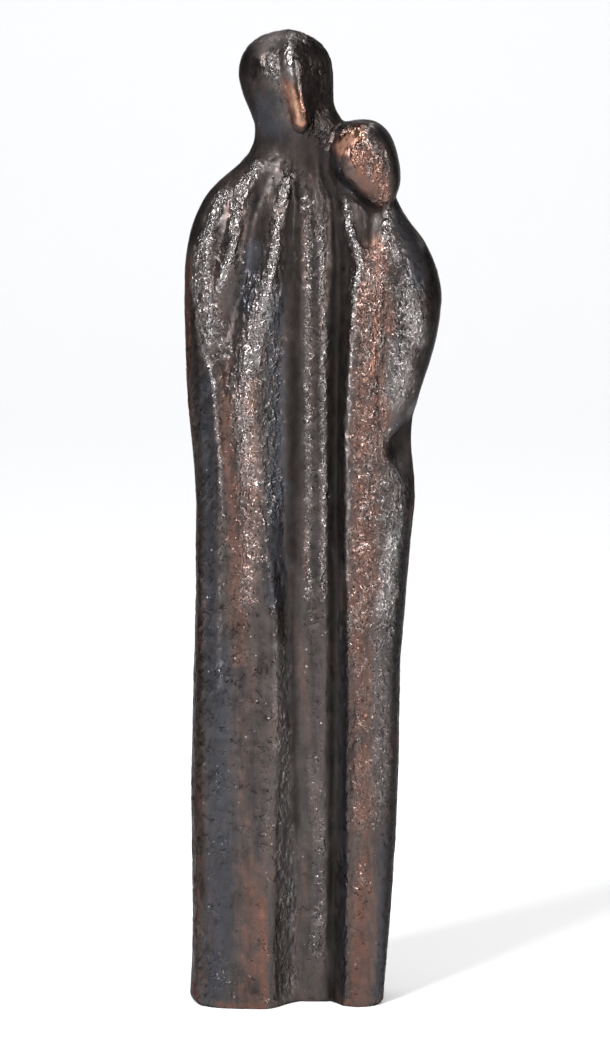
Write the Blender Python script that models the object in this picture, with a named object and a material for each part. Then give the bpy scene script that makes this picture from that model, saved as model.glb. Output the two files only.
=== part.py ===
"""A small cast bronze of a couple standing close together, in one piece.

The taller figure stands on the left and the shorter one leans its head against the taller one's neck. Both wear
a long mantle that falls to the ground in upright folds, so that the pair reads as one column with two heads.
The body is a stack of level rings from the foot to the taller crown. Each ring is a rounded section between the
left and right outlines, raised or hollowed along the fold lines. The shorter head is a faceted ovoid, joined on.

Metres, +Z up. The couple faces -Y, and the origin is the point of the underside that it stands on.
"""

import math
from dataclasses import dataclass

import bmesh
import bpy
from mathutils import Euler, Vector

HEIGHT = 0.200  # from the underside to the top of the taller head
CROWN_FROM = 191.5  # above this height the taller head closes in a dome
CROWN_RISE = 9.1  # the dome's height
NUB_RISE = 0.4  # the stub of the casting gate on the crown
UNIT = HEIGHT / (CROWN_FROM + CROWN_RISE + NUB_RISE)  # what the carving below is measured in, close to 1 mm
DEPTH_SHARE = 1.0  # how deep the couple is from front to back, as a share of the carved depths below
RELIEF_SHARE = 1.0  # how far the folds rise and sink, as a share of the rises below

FOOT_EDGE = 0.6  # the worn edge round the underside
CROWN_FULLNESS = 2.4  # 2 is an ellipse, and more is fuller
NUB_RADIUS = 1.1

# The outlines as seen from the front: (height, distance right of the origin).
LEFT_OUTLINE = (
    (0, -20.9), (4, -20.7), (10, -20.4), (20, -20.3), (36, -20.5), (54, -20.4), (70, -19.9), (86, -19.5),
    (102, -19.4), (114, -20.0), (126, -21.1), (138, -21.6), (149, -21.7), (157, -21.0), (163.5, -19.1),
    (168, -16.4), (170.5, -13.9), (173, -10.9), (175, -8.9), (177, -7.7), (179, -7.2), (181, -7.2),
    (183.5, -8.0), (187.5, -9.6), (191.5, -10.6),
)
RIGHT_OUTLINE = (
    (0, 19.4), (8, 20.0), (20, 21.0), (36, 22.0), (54, 22.6), (70, 22.8), (78, 23.4), (86, 24.1), (98, 25.1),
    (106, 25.8), (110, 25.8), (116, 25.1), (121, 25.2), (126, 26.5), (134, 29.2), (142, 30.9), (146, 31.2),
    (152, 30.2), (158, 27.4), (163, 23.6), (167, 21.5), (170.5, 19.3), (175.5, 14.8), (179.5, 12.7),
    (182.5, 10.8), (184.5, 9.3), (187.5, 8.9), (191.5, 8.9),
)

# Distance from the side seam to the front and the back of the section: (height, depth).
FRONT_DEPTH = (
    (0, 11.4), (30, 11.0), (60, 10.8), (112, 10.6), (142, 10.6), (154.5, 10.0), (164.5, 8.6), (171.5, 7.2),
    (177.5, 6.5), (181.5, 6.9), (186.5, 7.9), (191.5, 8.3),
)
BACK_DEPTH = (
    (0, 12.8), (26, 12.2), (62, 11.4), (92, 11.2), (116, 11.8), (136, 12.8), (150, 12.4), (158, 11.0),
    (166, 9.2), (172, 7.8), (177.5, 7.1), (182.5, 7.8), (187.5, 9.0), (191.5, 9.5),
)
# How square each quarter of the section is: 2 is an ellipse. The foot is nearly a rounded oblong.
FRONT_LEFT_SQUARENESS = ((0, 4.4), (16, 3.5), (60, 3.0), (112, 2.8), (152, 2.4), (172, 2.1), (191.5, 2.0))
FRONT_RIGHT_SQUARENESS = ((0, 4.8), (16, 3.9), (60, 3.2), (112, 2.7), (152, 2.4), (172, 2.1), (191.5, 2.0))
BACK_SQUARENESS = ((0, 3.6), (60, 3.2), (112, 2.7), (152, 2.4), (172, 2.1), (191.5, 2.1))
# The left flank is turned a little to the front, so that its plane shows: (height, share of the depth).
FLANK_TURN = ((0, 0.13), (60, 0.10), (90, 0.04), (112, 0.0))

# Above this height the folds right of the taller figure's front ridge run together into its neck.
GATHER_FROM = 163.5
GATHER_OVER = 10.0


@dataclass
class Fold:
    """A line that runs up the couple: a crest where it rises, a hollow where it sinks."""

    name: str
    line: tuple  # (height, distance right of the origin)
    rise: tuple  # (height, rise above the rounded section)
    crisp: tuple = ((0, 0.0),)  # (height, crispness): 0 is a round crest, and 1 a ridge with straight slopes
    steps: int = 2  # mesh steps from the fold before it


FRONT_FOLDS = (
    Fold("flank_edge",
         line=((0, -20.0), (36, -19.9), (70, -19.3), (100, -18.6), (114, -19.0), (126, -20.0), (142, -20.8),
               (156, -20.2), (168, -15.2), (177, -7.1), (183, -7.6), (191.5, -9.8)),
         rise=((0, 1.2), (80, 1.1), (100, 0.4), (114, 0.0)),
         crisp=((0, 0.8), (90, 0.6), (114, 0.0)), steps=3),
    Fold("flank_hollow",
         line=((0, -18.0), (60, -17.4), (100, -16.6), (122, -17.6), (138, -19.2), (156, -18.8), (168, -14.0),
               (177, -6.5), (183, -7.0), (191.5, -8.6)),
         rise=((0, 1.0), (60, 0.5), (96, -0.4), (120, -0.7), (136, -0.3), (152, 0.0)), steps=1),
    Fold("shoulder_fold",
         line=((0, -15.4), (42, -14.6), (82, -13.9), (110, -14.2), (124, -15.4), (132, -16.8), (142, -18.0),
               (152, -17.8), (159.5, -16.4), (166.5, -13.2), (172.5, -8.9), (178.5, -5.7), (184.5, -5.8),
               (191.5, -7.2)),
         rise=((0, 1.1), (42, 0.9), (82, 1.0), (112, 1.3), (137, 1.3), (157, 1.1), (166.5, 0.5), (174.5, 0.0)),
         crisp=((0, 0.3), (110, 0.4), (140, 0.6))),
    Fold("shoulder_groove",
         line=((0, -14.2), (82, -13.2), (124, -14.5), (134, -16.1), (144, -16.7), (152, -15.5), (160.5, -13.1),
               (167.5, -10.5), (173.5, -7.3), (179.5, -4.6), (185.5, -4.6), (191.5, -6.0)),
         rise=((0, 1.1), (82, 0.9), (126, 0.8), (140, 0.4), (152, -0.2), (161.5, -0.3), (169.5, 0.0)), steps=1),
    Fold("collar_fold",
         line=((0, -13.0), (82, -12.4), (124, -13.6), (138, -15.4), (145, -14.8), (153, -12.2), (160.5, -10.8),
               (168.5, -8.4), (173.5, -6.0), (179.5, -3.4), (185.5, -3.6), (191.5, -4.8)),
         rise=((0, 1.1), (82, 0.9), (126, 0.7), (140, 0.8), (148, 1.1), (160, 1.2), (166, 1.0), (172.5, 0.3),
               (176.5, 0.0)), crisp=((0, 0.2), (140, 0.5))),
    Fold("chest_hollow",
         line=((0, -10.8), (44, -10.4), (84, -10.0), (112, -11.2), (128, -12.6), (141.5, -12.0), (151.5, -9.0),
               (161.5, -8.0), (169.5, -5.2), (175.5, -2.6), (180.5, -0.2), (184, -0.8), (187, -1.7),
               (191.5, -3.2)),
         rise=((0, 1.2), (42, 1.2), (82, 1.2), (107, 1.1), (127, 0.3), (143.5, -1.0), (156.5, -1.2),
               (165.5, -0.7), (172.5, 0.0), (179.5, 0.1), (181.5, 0.3), (187, 0.3), (191.5, 0.1)), steps=3),
    Fold("front_ridge",
         line=((0, -5.8), (22, -5.6), (42, -5.0), (64, -3.8), (80, -4.1), (90, -5.2), (104, -7.1), (116, -8.6),
               (124, -9.0), (134, -8.0), (142, -6.2), (150, -4.2), (162.5, -2.4), (169.5, -1.0), (174.5, 0.6),
               (179.5, 2.1), (183.5, 2.0), (188.5, 1.3), (191.5, 0.8)),
         rise=((0, 1.4), (22, 1.4), (62, 1.3), (92, 1.7), (112, 2.3), (128, 2.6), (146.5, 2.2), (158.5, 1.9),
               (166.5, 1.0), (172.5, 0.1), (176.5, 0.1), (179.5, 1.5), (182.5, 2.3), (187.5, 1.8),
               (191.5, 1.2)),
         crisp=((0, 0.0), (100, 0.1), (124, 0.5), (145, 0.8), (186, 0.9), (191.5, 0.6)), steps=4),
    Fold("left_valley",
         line=((0, 1.9), (22, 1.5), (43, 0.8), (85, 0.2), (105, 0.8), (126, 1.4), (166.5, 1.8)),
         rise=((0, -6.3), (20, -5.2), (40, -4.1), (100, -3.5), (134, -3.4), (151.5, -3.0), (161.5, -2.3),
               (169.5, -1.2), (175.5, 0.0), (179.5, 1.0), (182.5, 1.7), (187.5, 1.4), (191.5, 1.0)),
         crisp=((0, 0.2), (30, 0.4), (160, 0.3), (175, 0.0)), steps=4),
    Fold("middle_band_left",
         line=((0, 3.1), (22, 2.5), (64, 2.3), (105, 2.8), (146, 3.2), (166.5, 3.8)),
         rise=((0, -6.0), (20, -4.6), (60, -3.2), (100, -2.9), (134, -2.8), (151.5, -2.4), (161.5, -1.8),
               (169.5, -0.9), (175.5, -0.1), (179.5, 0.6), (182.5, 1.2), (187.5, 1.0), (191.5, 0.7)),
         crisp=((0, 0.3), (20, 0.7)), steps=2),
    Fold("middle_band_right",
         line=((0, 7.9), (22, 7.8), (64, 7.4), (105, 7.6), (126, 7.5), (146, 7.0), (166.5, 6.4)),
         rise=((0, -6.1), (20, -4.7), (60, -3.3), (100, -3.0), (134, -2.9), (151.5, -2.6), (161.5, -2.0),
               (169.5, -1.2), (175.5, -0.3), (179.5, 0.3), (182.5, 0.8), (187.5, 0.6), (191.5, 0.4)),
         crisp=((0, 0.3), (20, 0.7)), steps=3),
    Fold("right_valley",
         line=((0, 8.8), (22, 9.0), (55, 9.4), (97, 9.6), (138, 9.8), (154, 9.6), (166.5, 9.0)),
         rise=((0, -6.9), (20, -6.2), (42, -5.6), (100, -5.1), (134, -5.0), (151.5, -4.6), (161.5, -4.0),
               (169.5, -2.8), (175.5, -0.8), (179.5, -0.1), (182.5, 0.4), (187.5, 0.3), (191.5, 0.2)),
         crisp=((0, 0.3),), steps=2),
    Fold("mantle_edge",
         line=((0, 11.4), (22, 11.5), (64, 12.1), (81, 11.9), (97, 11.5), (118, 11.2), (132, 11.6), (140, 12.4),
               (148, 13.2), (154, 13.6), (160, 12.2), (166, 11.4)),
         rise=((0, -1.6), (42, -1.2), (72, -0.6), (97, 0.0), (142, 0.3), (153.5, 0.6), (159.5, 0.3),
               (166.5, -0.6), (175.5, -0.6), (180, 0.1), (191.5, 0.1)),
         crisp=((0, 0.4), (60, 0.6), (90, 0.9)), steps=2),
    Fold("mantle_front",
         line=((0, 14.4), (44, 14.2), (65, 14.2), (81, 14.7), (93, 15.7), (110, 15.9), (142, 15.9), (153, 16.2),
               (166, 15.8)),
         rise=((0, 0.0), (22, 0.2), (62, 0.6), (102, 0.9), (127, 1.2), (141.5, 1.3), (150.5, 0.9),
               (155.5, -0.4), (160.5, -1.7), (166.5, -1.5), (173.5, -0.6), (181.5, -0.1), (191.5, 0.0)),
         crisp=((0, 0.2),), steps=3),
    Fold("lapel_and_hip",
         line=((0, 17.1), (22, 17.9), (43, 18.6), (64, 19.0), (85, 20.0), (97, 21.2), (108, 21.6), (114, 20.6),
               (118, 19.6), (126, 19.5), (138, 20.3), (146, 20.7), (153, 19.9), (159, 19.6), (164.5, 20.2)),
         rise=((0, 0.2), (42, 0.4), (72, 0.7), (97, 1.2), (109, 1.3), (117.5, 0.6), (122.5, 0.1), (131.5, -0.3),
               (145.5, -0.7), (152.5, 0.4), (158.5, 0.9), (165.5, 0.3), (173.5, -0.4), (191.5, 0.0)),
         crisp=((0, 0.2), (100, 0.4), (150, 0.5)), steps=3),
    Fold("arm",
         line=((0, 18.6), (22, 19.4), (43, 20.6), (64, 21.3), (85, 22.3), (97, 23.1), (108, 23.7), (114, 23.0),
               (119, 22.7), (124, 23.0), (132, 24.1), (142, 25.0), (154, 24.0), (161.5, 22.4)),
         rise=((0, 0.0), (62, 0.2), (90, 0.5), (108, 0.6), (114, 0.4), (120, 0.8), (128, 1.5), (138, 2.3),
               (148, 2.5), (155, 2.0), (160.5, 1.0), (166.5, 0.2), (173.5, -0.2), (191.5, 0.0)),
         crisp=((0, 0.2),), steps=3),
    Fold("elbow",
         line=((0, 19.0), (22, 20.4), (43, 21.6), (64, 22.3), (85, 23.4), (97, 24.3), (108, 24.9), (116, 24.3),
               (124, 25.3), (134, 27.7), (142, 29.2), (148, 29.4), (155, 27.0), (161.5, 23.7)),
         rise=((0, 0.0), (100, 0.1), (120, 0.3), (138, 1.0), (150, 1.0), (159.5, 0.4), (166.5, 0.0)), steps=2),
)
RIGHT_EDGE_STEPS = 3
RIDGE = "front_ridge"

# The back is plainer: two backs with a seam between them, and a few soft folds, from the right round to the
# left as the rings run.
BACK_FOLDS = (
    Fold("back_hip", line=((0, 16.6), (60, 18.6), (110, 21.0), (145, 25.6), (158, 21.6), (165, 16.8)),
         rise=((0, 0.1), (60, 0.3), (120, 0.2), (145, 0.8), (160, 0.0)), steps=4),
    Fold("back_small", line=((0, 12.6), (60, 13.6), (110, 14.6), (145, 16.4), (165, 12.6)),
         rise=((0, 0.2), (60, 0.6), (110, 0.9), (145, 0.9), (162, 0.0)), steps=3),
    Fold("back_seam", line=((0, 7.2), (60, 7.6), (110, 7.4), (145, 8.4), (165, 7.6)),
         rise=((0, -1.2), (30, -1.9), (110, -2.3), (145, -2.2), (158, -1.2), (166, 0.0)), steps=4),
    Fold("back_tall", line=((0, 0.6), (60, 0.2), (110, -0.4), (145, 0.2), (165, 1.2)),
         rise=((0, 0.5), (60, 0.7), (110, 0.9), (145, 0.9), (162, 0.2), (170, 0.0)), steps=4),
    Fold("back_hollow", line=((0, -7.6), (60, -7.2), (110, -7.6), (145, -7.8), (165, -5.4)),
         rise=((0, -0.3), (60, -0.7), (110, -0.7), (145, -0.3), (162, 0.0)), steps=4),
    Fold("back_shoulder", line=((0, -13.6), (60, -13.2), (110, -14.0), (145, -15.2), (165, -11.0)),
         rise=((0, 0.3), (60, 0.4), (110, 0.5), (145, 0.4), (162, 0.0)), steps=4),
)
BACK_EDGE_STEPS = 3

# The rings' spacing from each height up, closer where the outline turns: (height, spacing).
RING_SPACING = ((FOOT_EDGE, 6.0), (102, 2.0), (126, 3.2), (158, 1.97))
CROWN_RINGS = 6

# The set-back hollow under the shorter figure's arm, as seen from the front: (distance right, height).
ARM_HOLLOW = (
    (19.8, 116.6), (21.0, 118.0), (23.6, 120.8), (25.4, 123.0), (28.4, 128.2), (36.0, 134.0), (36.0, 104.0),
    (25.8, 104.4), (24.0, 107.4), (22.7, 110.2), (21.2, 112.8), (20.1, 114.8),
)
ARM_HOLLOW_FLOOR = (-3.8, 0.50)  # how far forward its floor is at its tip, and how fast it falls back to the right

# The shorter head, in its own frame: across, back and up before it is tilted against the taller neck.
HEAD_CENTRE = (14.9, -2.6, 173.2)
HEAD_RADII = (7.4, 8.8, 9.7)
HEAD_FULLNESS = 2.4  # 2 is an ellipsoid, and more is squarer
HEAD_TILT = (math.radians(6), math.radians(-13), math.radians(-8))
HEAD_FACETS = (  # (direction that the facet faces, distance from the centre)
    ((-0.62, -0.60, -0.50), 6.8),  # the smooth cheek, below and to the left
    ((0.36, -0.90, -0.24), 7.5),  # the worn cheek on the right
    ((-0.40, -0.80, 0.45), 7.7),  # the brow
    ((0.22, -0.10, 1.0), 9.3),  # the flat of the crown
)
FACET_EDGE = 16  # how crisp the facets' edges are
HEAD_SEGMENTS, HEAD_RINGS = 26, 17

BRONZE_COLOUR = (0.085, 0.068, 0.058, 1.0)
BRONZE_ROUGHNESS = 0.42


def clear_scene():
    for obj in list(bpy.data.objects):
        bpy.data.objects.remove(obj)


def follow(points, height):
    """The value at a height on a smooth curve through (height, value) points, which it never swings past."""
    if height <= points[0][0]:
        return points[0][1]
    if height >= points[-1][0]:
        return points[-1][1]
    i = next(k for k in range(len(points) - 1) if height <= points[k + 1][0])
    (h0, v0), (h1, v1) = points[i], points[i + 1]
    gap = h1 - h0
    here = (v1 - v0) / gap

    def slope_at(k):
        """The curve's slope at a point: the mean of its two sides, flat at a turn and never over-steep."""
        if k in (0, len(points) - 1):
            return here
        (ha, va), (hb, vb), (hc, vc) = points[k - 1], points[k], points[k + 1]
        before = (vb - va) / (hb - ha)
        after = (vc - vb) / (hc - hb)
        if before * after <= 0:
            return 0.0
        mean = (before * (hc - hb) + after * (hb - ha)) / (hc - ha)
        return math.copysign(min(abs(mean), 3 * abs(before), 3 * abs(after)), mean)

    s = (height - h0) / gap
    return (
        v0 * (2 * s**3 - 3 * s**2 + 1)
        + v1 * (3 * s**2 - 2 * s**3)
        + slope_at(i) * gap * (s**3 - 2 * s**2 + s)
        + slope_at(i + 1) * gap * (s**3 - s**2)
    )


def ease(low, high, value):
    s = min(1.0, max(0.0, (value - low) / (high - low)))
    return s * s * (3 - 2 * s)


def between(a, b, crisp_a, crisp_b, s):
    """The rise at a share s of the way from one fold to the next."""
    step = b - a
    return (
        a * (2 * s**3 - 3 * s**2 + 1)
        + b * (3 * s**2 - 2 * s**3)
        + crisp_a * step * (s**3 - 2 * s**2 + s)
        + crisp_b * step * (s**3 - s**2)
    )


def outlines(height):
    """(left, right, share of the full depth) of the section at a height, with the crown closing as a dome."""
    left = follow(LEFT_OUTLINE, height)
    right = follow(RIGHT_OUTLINE, height)
    if height <= CROWN_FROM:
        return left, right, 1.0
    climb = (height - CROWN_FROM) / CROWN_RISE
    share = math.sqrt(max(0.0, 1 - climb**CROWN_FULLNESS))
    middle = (left + right) / 2
    half = (right - left) / 2
    return middle - half * share, middle + half * share, share


def fold_places(folds, height, left, right):
    """Where each fold crosses the section, in the order of the folds."""
    lines = [follow(fold.line, height) for fold in folds]
    names = [fold.name for fold in folds]
    gathered = ease(GATHER_FROM, GATHER_FROM + GATHER_OVER, height)
    if RIDGE not in names:
        middle, half = (left + right) / 2, (right - left) / 2
        shares = [1 - 2 * (k + 1) / (len(folds) + 1) for k in range(len(folds))]
        return [x + (middle + half * s - x) * gathered for x, s in zip(lines, shares)]
    ridge = names.index(RIDGE)
    beyond = len(folds) - ridge
    for k in range(ridge + 1, len(folds)):
        neck = lines[ridge] + (right - lines[ridge]) * (k - ridge) / beyond
        lines[k] += (neck - lines[k]) * gathered
    # On the dome the lines draw in with the section.
    if height > CROWN_FROM:
        base_left, base_right, _ = outlines(CROWN_FROM)
        shrink = (right - left) / (base_right - base_left)
        base_middle, middle = (base_left + base_right) / 2, (left + right) / 2
        at_base = fold_places(folds, CROWN_FROM, base_left, base_right)
        lines = [middle + (x - base_middle) * shrink for x in at_base]
    return lines


def side_points(folds, edge_steps, height, start, end, depth, squareness, dome):
    """Points along one side of the section, from start up to but not including end, as (x, depth out).

    The squareness is the pair of tables for the half at the start and the half at the end.
    """
    middle, half = (start + end) / 2, (end - start) / 2
    places = fold_places(folds, height, min(start, end), max(start, end))
    turn = [math.acos(max(-1.0, min(1.0, (middle - x) / half))) for x in places]
    stops = [0.0, *turn, math.pi]
    rises = [0.0, *(follow(fold.rise, height) * dome * RELIEF_SHARE for fold in folds), 0.0]
    crisps = [0.0, *(follow(fold.crisp, height) for fold in folds), 0.0]
    steps = [*(fold.steps for fold in folds), edge_steps]
    points = []
    for k, count in enumerate(steps):
        for j in range(count):
            s = j / count
            angle = stops[k] + (stops[k + 1] - stops[k]) * s
            across = -math.cos(angle)
            power = follow(squareness[0 if across < 0 else 1], height)
            rounded = (1 - abs(across) ** power) ** (1 / power)
            rise = between(rises[k], rises[k + 1], crisps[k], crisps[k + 1], s)
            points.append((middle + half * across, depth * rounded + rise))
    return points


def ring(height):
    """One closed section, counter-clockwise from the left edge by the front, in units."""
    left, right, dome = outlines(height)
    front = side_points(
        FRONT_FOLDS, RIGHT_EDGE_STEPS, height, left, right, follow(FRONT_DEPTH, height) * dome,
        (FRONT_LEFT_SQUARENESS, FRONT_RIGHT_SQUARENESS), dome,
    )
    back = side_points(
        BACK_FOLDS, BACK_EDGE_STEPS, height, right, left, follow(BACK_DEPTH, height) * dome,
        (BACK_SQUARENESS, BACK_SQUARENESS), dome,
    )
    turn = follow(FLANK_TURN, height)
    points = []
    for sign, side in ((-1, front), (1, back)):
        for x, out in side:
            y = sign * out * DEPTH_SHARE
            nearness = ease(0.3, 1.0, 1 - (x - left) / (right - left)) if right > left else 0.0
            points.append((x - y * turn * nearness, y))
    return points


def ring_heights():
    heights = []
    tops = [*(start for start, _ in RING_SPACING[1:]), CROWN_FROM]
    for (low, spacing), high in zip(RING_SPACING, tops):
        rings = max(1, round((high - low) / spacing))
        heights += [low + (high - low) * k / rings for k in range(rings)]
    for k in range(CROWN_RINGS):
        heights.append(CROWN_FROM + CROWN_RISE * math.sin(math.pi / 2 * k / CROWN_RINGS))
    return heights


def shrunk(points, amount):
    """The section drawn in by an even amount, for the worn edge round the underside."""
    corners = [Vector(point) for point in points]
    middle = sum(corners, Vector((0, 0))) / len(corners)
    return [corner - (corner - middle).normalized() * amount for corner in corners]


def add_ring(bm, points, height):
    return [bm.verts.new((x * UNIT, y * UNIT, height * UNIT)) for x, y in points]


def join_rings(bm, low, high):
    count = len(low)
    for k in range(count):
        bm.faces.new((low[k], low[(k + 1) % count], high[(k + 1) % count], high[k]))


def new_object(name, bm):
    bmesh.ops.recalc_face_normals(bm, faces=bm.faces)
    mesh = bpy.data.meshes.new(name)
    bm.to_mesh(mesh)
    bm.free()
    obj = bpy.data.objects.new(name, mesh)
    bpy.context.scene.collection.objects.link(obj)
    return obj


def make_body():
    """The joined figures from the underside to the taller crown."""
    bm = bmesh.new()
    heights = ring_heights()
    rings = [add_ring(bm, shrunk(ring(0), FOOT_EDGE), 0.0)]
    rings += [add_ring(bm, ring(height), height) for height in heights]
    top_ring = [Vector(point) for point in ring(heights[-1])]
    middle = sum(top_ring, Vector((0, 0))) / len(top_ring)
    nub = [middle + (point - middle).normalized() * NUB_RADIUS for point in top_ring]
    rings.append(add_ring(bm, nub, CROWN_FROM + CROWN_RISE))
    for low, high in zip(rings, rings[1:]):
        join_rings(bm, low, high)
    bm.faces.new(rings[0])
    top = bm.verts.new((middle.x * UNIT, middle.y * UNIT, HEIGHT))
    last = rings[-1]
    for k in range(len(last)):
        bm.faces.new((last[k], last[(k + 1) % len(last)], top))
    return new_object("bronze_couple", bm)


def make_arm_hollow():
    """The tool that takes the hollow out of the body: its outline, run in from the front to a sloping floor."""
    bm = bmesh.new()
    floor, fall = ARM_HOLLOW_FLOOR
    tip = ARM_HOLLOW[0][0]
    outer = [bm.verts.new((x * UNIT, -30 * UNIT, z * UNIT)) for x, z in ARM_HOLLOW]
    inner = [
        bm.verts.new((x * UNIT, (floor + (x - tip) * fall) * DEPTH_SHARE * UNIT, z * UNIT)) for x, z in ARM_HOLLOW
    ]
    join_rings(bm, outer, inner)
    bm.faces.new(outer)
    bm.faces.new(inner)
    return new_object("arm_hollow", bm)


def facet_reach(direction):
    """How far the faceted ovoid reaches in a direction: an ovoid cut by planes, with their edges rounded."""
    shares = [abs(part) / radius for part, radius in zip(direction, HEAD_RADII)]
    ovoid = sum(share**HEAD_FULLNESS for share in shares) ** (1 / HEAD_FULLNESS)
    total = ovoid**FACET_EDGE
    for facing, distance in HEAD_FACETS:
        toward = direction.dot(Vector(facing).normalized()) / distance
        total += max(0.0, toward) ** FACET_EDGE
    return total ** (-1 / FACET_EDGE)


def make_small_head():
    """The shorter figure's head, tilted against the taller neck."""
    bm = bmesh.new()
    tilt = Euler(HEAD_TILT).to_matrix()
    centre = Vector(HEAD_CENTRE)

    def place(direction):
        p = centre + tilt @ (direction * facet_reach(direction))
        return bm.verts.new((p.x * UNIT, p.y * DEPTH_SHARE * UNIT, p.z * UNIT))

    rings = []
    for k in range(1, HEAD_RINGS):
        rise = math.pi * k / HEAD_RINGS - math.pi / 2
        rings.append([
            place(Vector((
                math.cos(rise) * math.cos(2 * math.pi * j / HEAD_SEGMENTS),
                math.cos(rise) * math.sin(2 * math.pi * j / HEAD_SEGMENTS),
                math.sin(rise),
            )))
            for j in range(HEAD_SEGMENTS)
        ])
    for low, high in zip(rings, rings[1:]):
        join_rings(bm, low, high)
    for end, pole in ((rings[0], Vector((0, 0, -1))), (rings[-1], Vector((0, 0, 1)))):
        tip = place(pole)
        for k in range(HEAD_SEGMENTS):
            bm.faces.new((end[k], end[(k + 1) % HEAD_SEGMENTS], tip))
    return new_object("small_head", bm)


def combine(obj, tool, operation):
    """Cut the tool out of the object, or join it on, in one body."""
    tool.hide_render = True
    tool.display_type = "WIRE"
    modifier = obj.modifiers.new(tool.name, "BOOLEAN")
    modifier.operation = operation
    modifier.solver = "EXACT"
    modifier.object = tool


def bronze():
    material = bpy.data.materials.new("patinated_bronze")
    material.use_nodes = True
    shader = material.node_tree.nodes["Principled BSDF"]
    shader.inputs["Base Color"].default_value = BRONZE_COLOUR
    shader.inputs["Metallic"].default_value = 1.0
    shader.inputs["Roughness"].default_value = BRONZE_ROUGHNESS
    return material


def main():
    clear_scene()
    couple = make_body()
    combine(couple, make_arm_hollow(), "DIFFERENCE")
    combine(couple, make_small_head(), "UNION")
    couple.data.materials.append(bronze())
    couple.data.shade_smooth()


main()
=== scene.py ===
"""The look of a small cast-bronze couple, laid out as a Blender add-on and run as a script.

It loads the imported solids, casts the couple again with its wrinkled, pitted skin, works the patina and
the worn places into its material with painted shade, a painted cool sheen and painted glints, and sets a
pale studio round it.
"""

import itertools
import math
from dataclasses import dataclass

import bpy
import numpy as np
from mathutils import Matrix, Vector


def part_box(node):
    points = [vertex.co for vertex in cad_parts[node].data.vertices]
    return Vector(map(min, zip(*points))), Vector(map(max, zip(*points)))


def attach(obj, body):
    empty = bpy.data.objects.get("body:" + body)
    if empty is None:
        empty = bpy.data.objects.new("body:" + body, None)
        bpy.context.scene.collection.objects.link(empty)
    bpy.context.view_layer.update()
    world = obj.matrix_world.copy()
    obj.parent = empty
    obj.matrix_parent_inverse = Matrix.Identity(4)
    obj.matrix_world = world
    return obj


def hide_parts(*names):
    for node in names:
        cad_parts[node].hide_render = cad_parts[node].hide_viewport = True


bl_info = {
    "name": "Bronze couple",
    "version": (1, 0, 0),
    "blender": (4, 5, 0),
    "location": "3D View > Sidebar > Bronze",
    "description": "Casts a small bronze couple with its patina and sets a pale studio round it",
    "category": "Object",
}

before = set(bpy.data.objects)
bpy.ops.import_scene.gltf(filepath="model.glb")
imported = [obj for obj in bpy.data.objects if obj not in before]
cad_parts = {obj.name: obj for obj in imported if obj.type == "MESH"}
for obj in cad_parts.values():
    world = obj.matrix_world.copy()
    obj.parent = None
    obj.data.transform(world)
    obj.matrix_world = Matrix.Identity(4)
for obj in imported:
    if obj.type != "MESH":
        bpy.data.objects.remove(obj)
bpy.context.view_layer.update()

NODE = "bronze_couple"
BODY = "root"
LOW, HIGH = (Vector(corner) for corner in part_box(NODE))
HEIGHT = HIGH.z - LOW.z
MM = HEIGHT / 200  # a millimetre on the real bronze

LONG_SIDE = 1038  # of the photograph, in pixels
SENSOR = 36.0
SWEEP_STEPS = 16


@dataclass
class Stroke:
    """A soft stroke over the front, as seen from the front: places right of the origin and above the foot."""

    name: str
    path: tuple  # ((right, up), ...) in millimetres
    width: float  # half its width, in millimetres
    strength: float
    side: int = 1  # 1 for the front and -1 for the back


def stroke_table(*rows):
    return tuple(Stroke(*row) for row in rows)


# Paths that more than one kind of stroke follows.
STRAND_OUTER = ((-12.9, 167), (-14.6, 164.9), (-15.4, 161.5), (-17, 158.3), (-18.4, 154.9), (-19.2, 151.9),
    (-19, 147.4))
STRAND_SIDE = ((-16, 157.5), (-16.6, 154.5), (-17, 151.5), (-16.6, 145.8), (-16, 140.4), (-16.2, 136.3))
STRAND_MIDDLE = ((-6.7, 172.6), (-8.5, 169.6), (-10.1, 167.6), (-11.1, 164.3), (-11.3, 160.3), (-11.7, 156.3),
    (-12.5, 152.3), (-13.8, 149.4), (-15.4, 146.2))
STRAND_INNER = ((-0.4, 169.4), (-1, 167), (-1.2, 164.3), (-1.6, 161.5), (-2.6, 158.9), (-2.8, 155.7),
    (-3.4, 152.3), (-3.8, 149.6), (-4, 146.2))
NECK_LEFT = ((11.4, 163.9), (11.8, 160.3), (12.6, 157.7), (14, 155.7), (14.4, 153.1), (13.8, 150.3),
    (13.2, 147))
NECK_RIGHT = ((20.1, 162.3), (19.5, 158.9), (20.3, 156.3), (21.3, 153.9))
MANTLE_BORDER = ((13.2, 147), (12.6, 139.3), (12.2, 131.3), (11.8, 123.1), (11.6, 115), (11.6, 100.8),
    (11.6, 88.5))
FRONT_BORDER = ((-16.2, 131.7), (-15.2, 125.6), (-14.6, 117.9), (-14, 111.8), (-14, 104.8))
ARM_RIM = ((28.4, 128.4), (26, 124.4), (24, 121.3), (22, 119.3))
LEFT_TEMPLE = ((-9.3, 194), (-9.5, 188.8), (-8.1, 184.8))
SMALL_CAP = ((18.5, 180.2), (20.5, 176.6), (21.8, 172.6), (21.8, 167.6))
UNDER_JAW = ((9, 168.4), (11.8, 165.8), (15.5, 163.7), (18.7, 163.1))
ARM_HOLLOW = ((24.8, 119.1), (22.8, 116.6), (21.8, 114.6), (22.8, 110.9), (24.6, 104.8))
BACK_SEAM = ((9.6, 174), (8.2, 158), (7.5, 100), (7.2, 4))
BACK_NECK = ((-7, 178), (0, 176), (9, 172))
MANTLE_GAP = ((8.6, 164.5), (9.6, 157.5), (10, 145.4), (10, 92.6))
TALL_CROWN = ((-0.6, 198), (0.9, 198.6), (2.7, 198))

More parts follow.
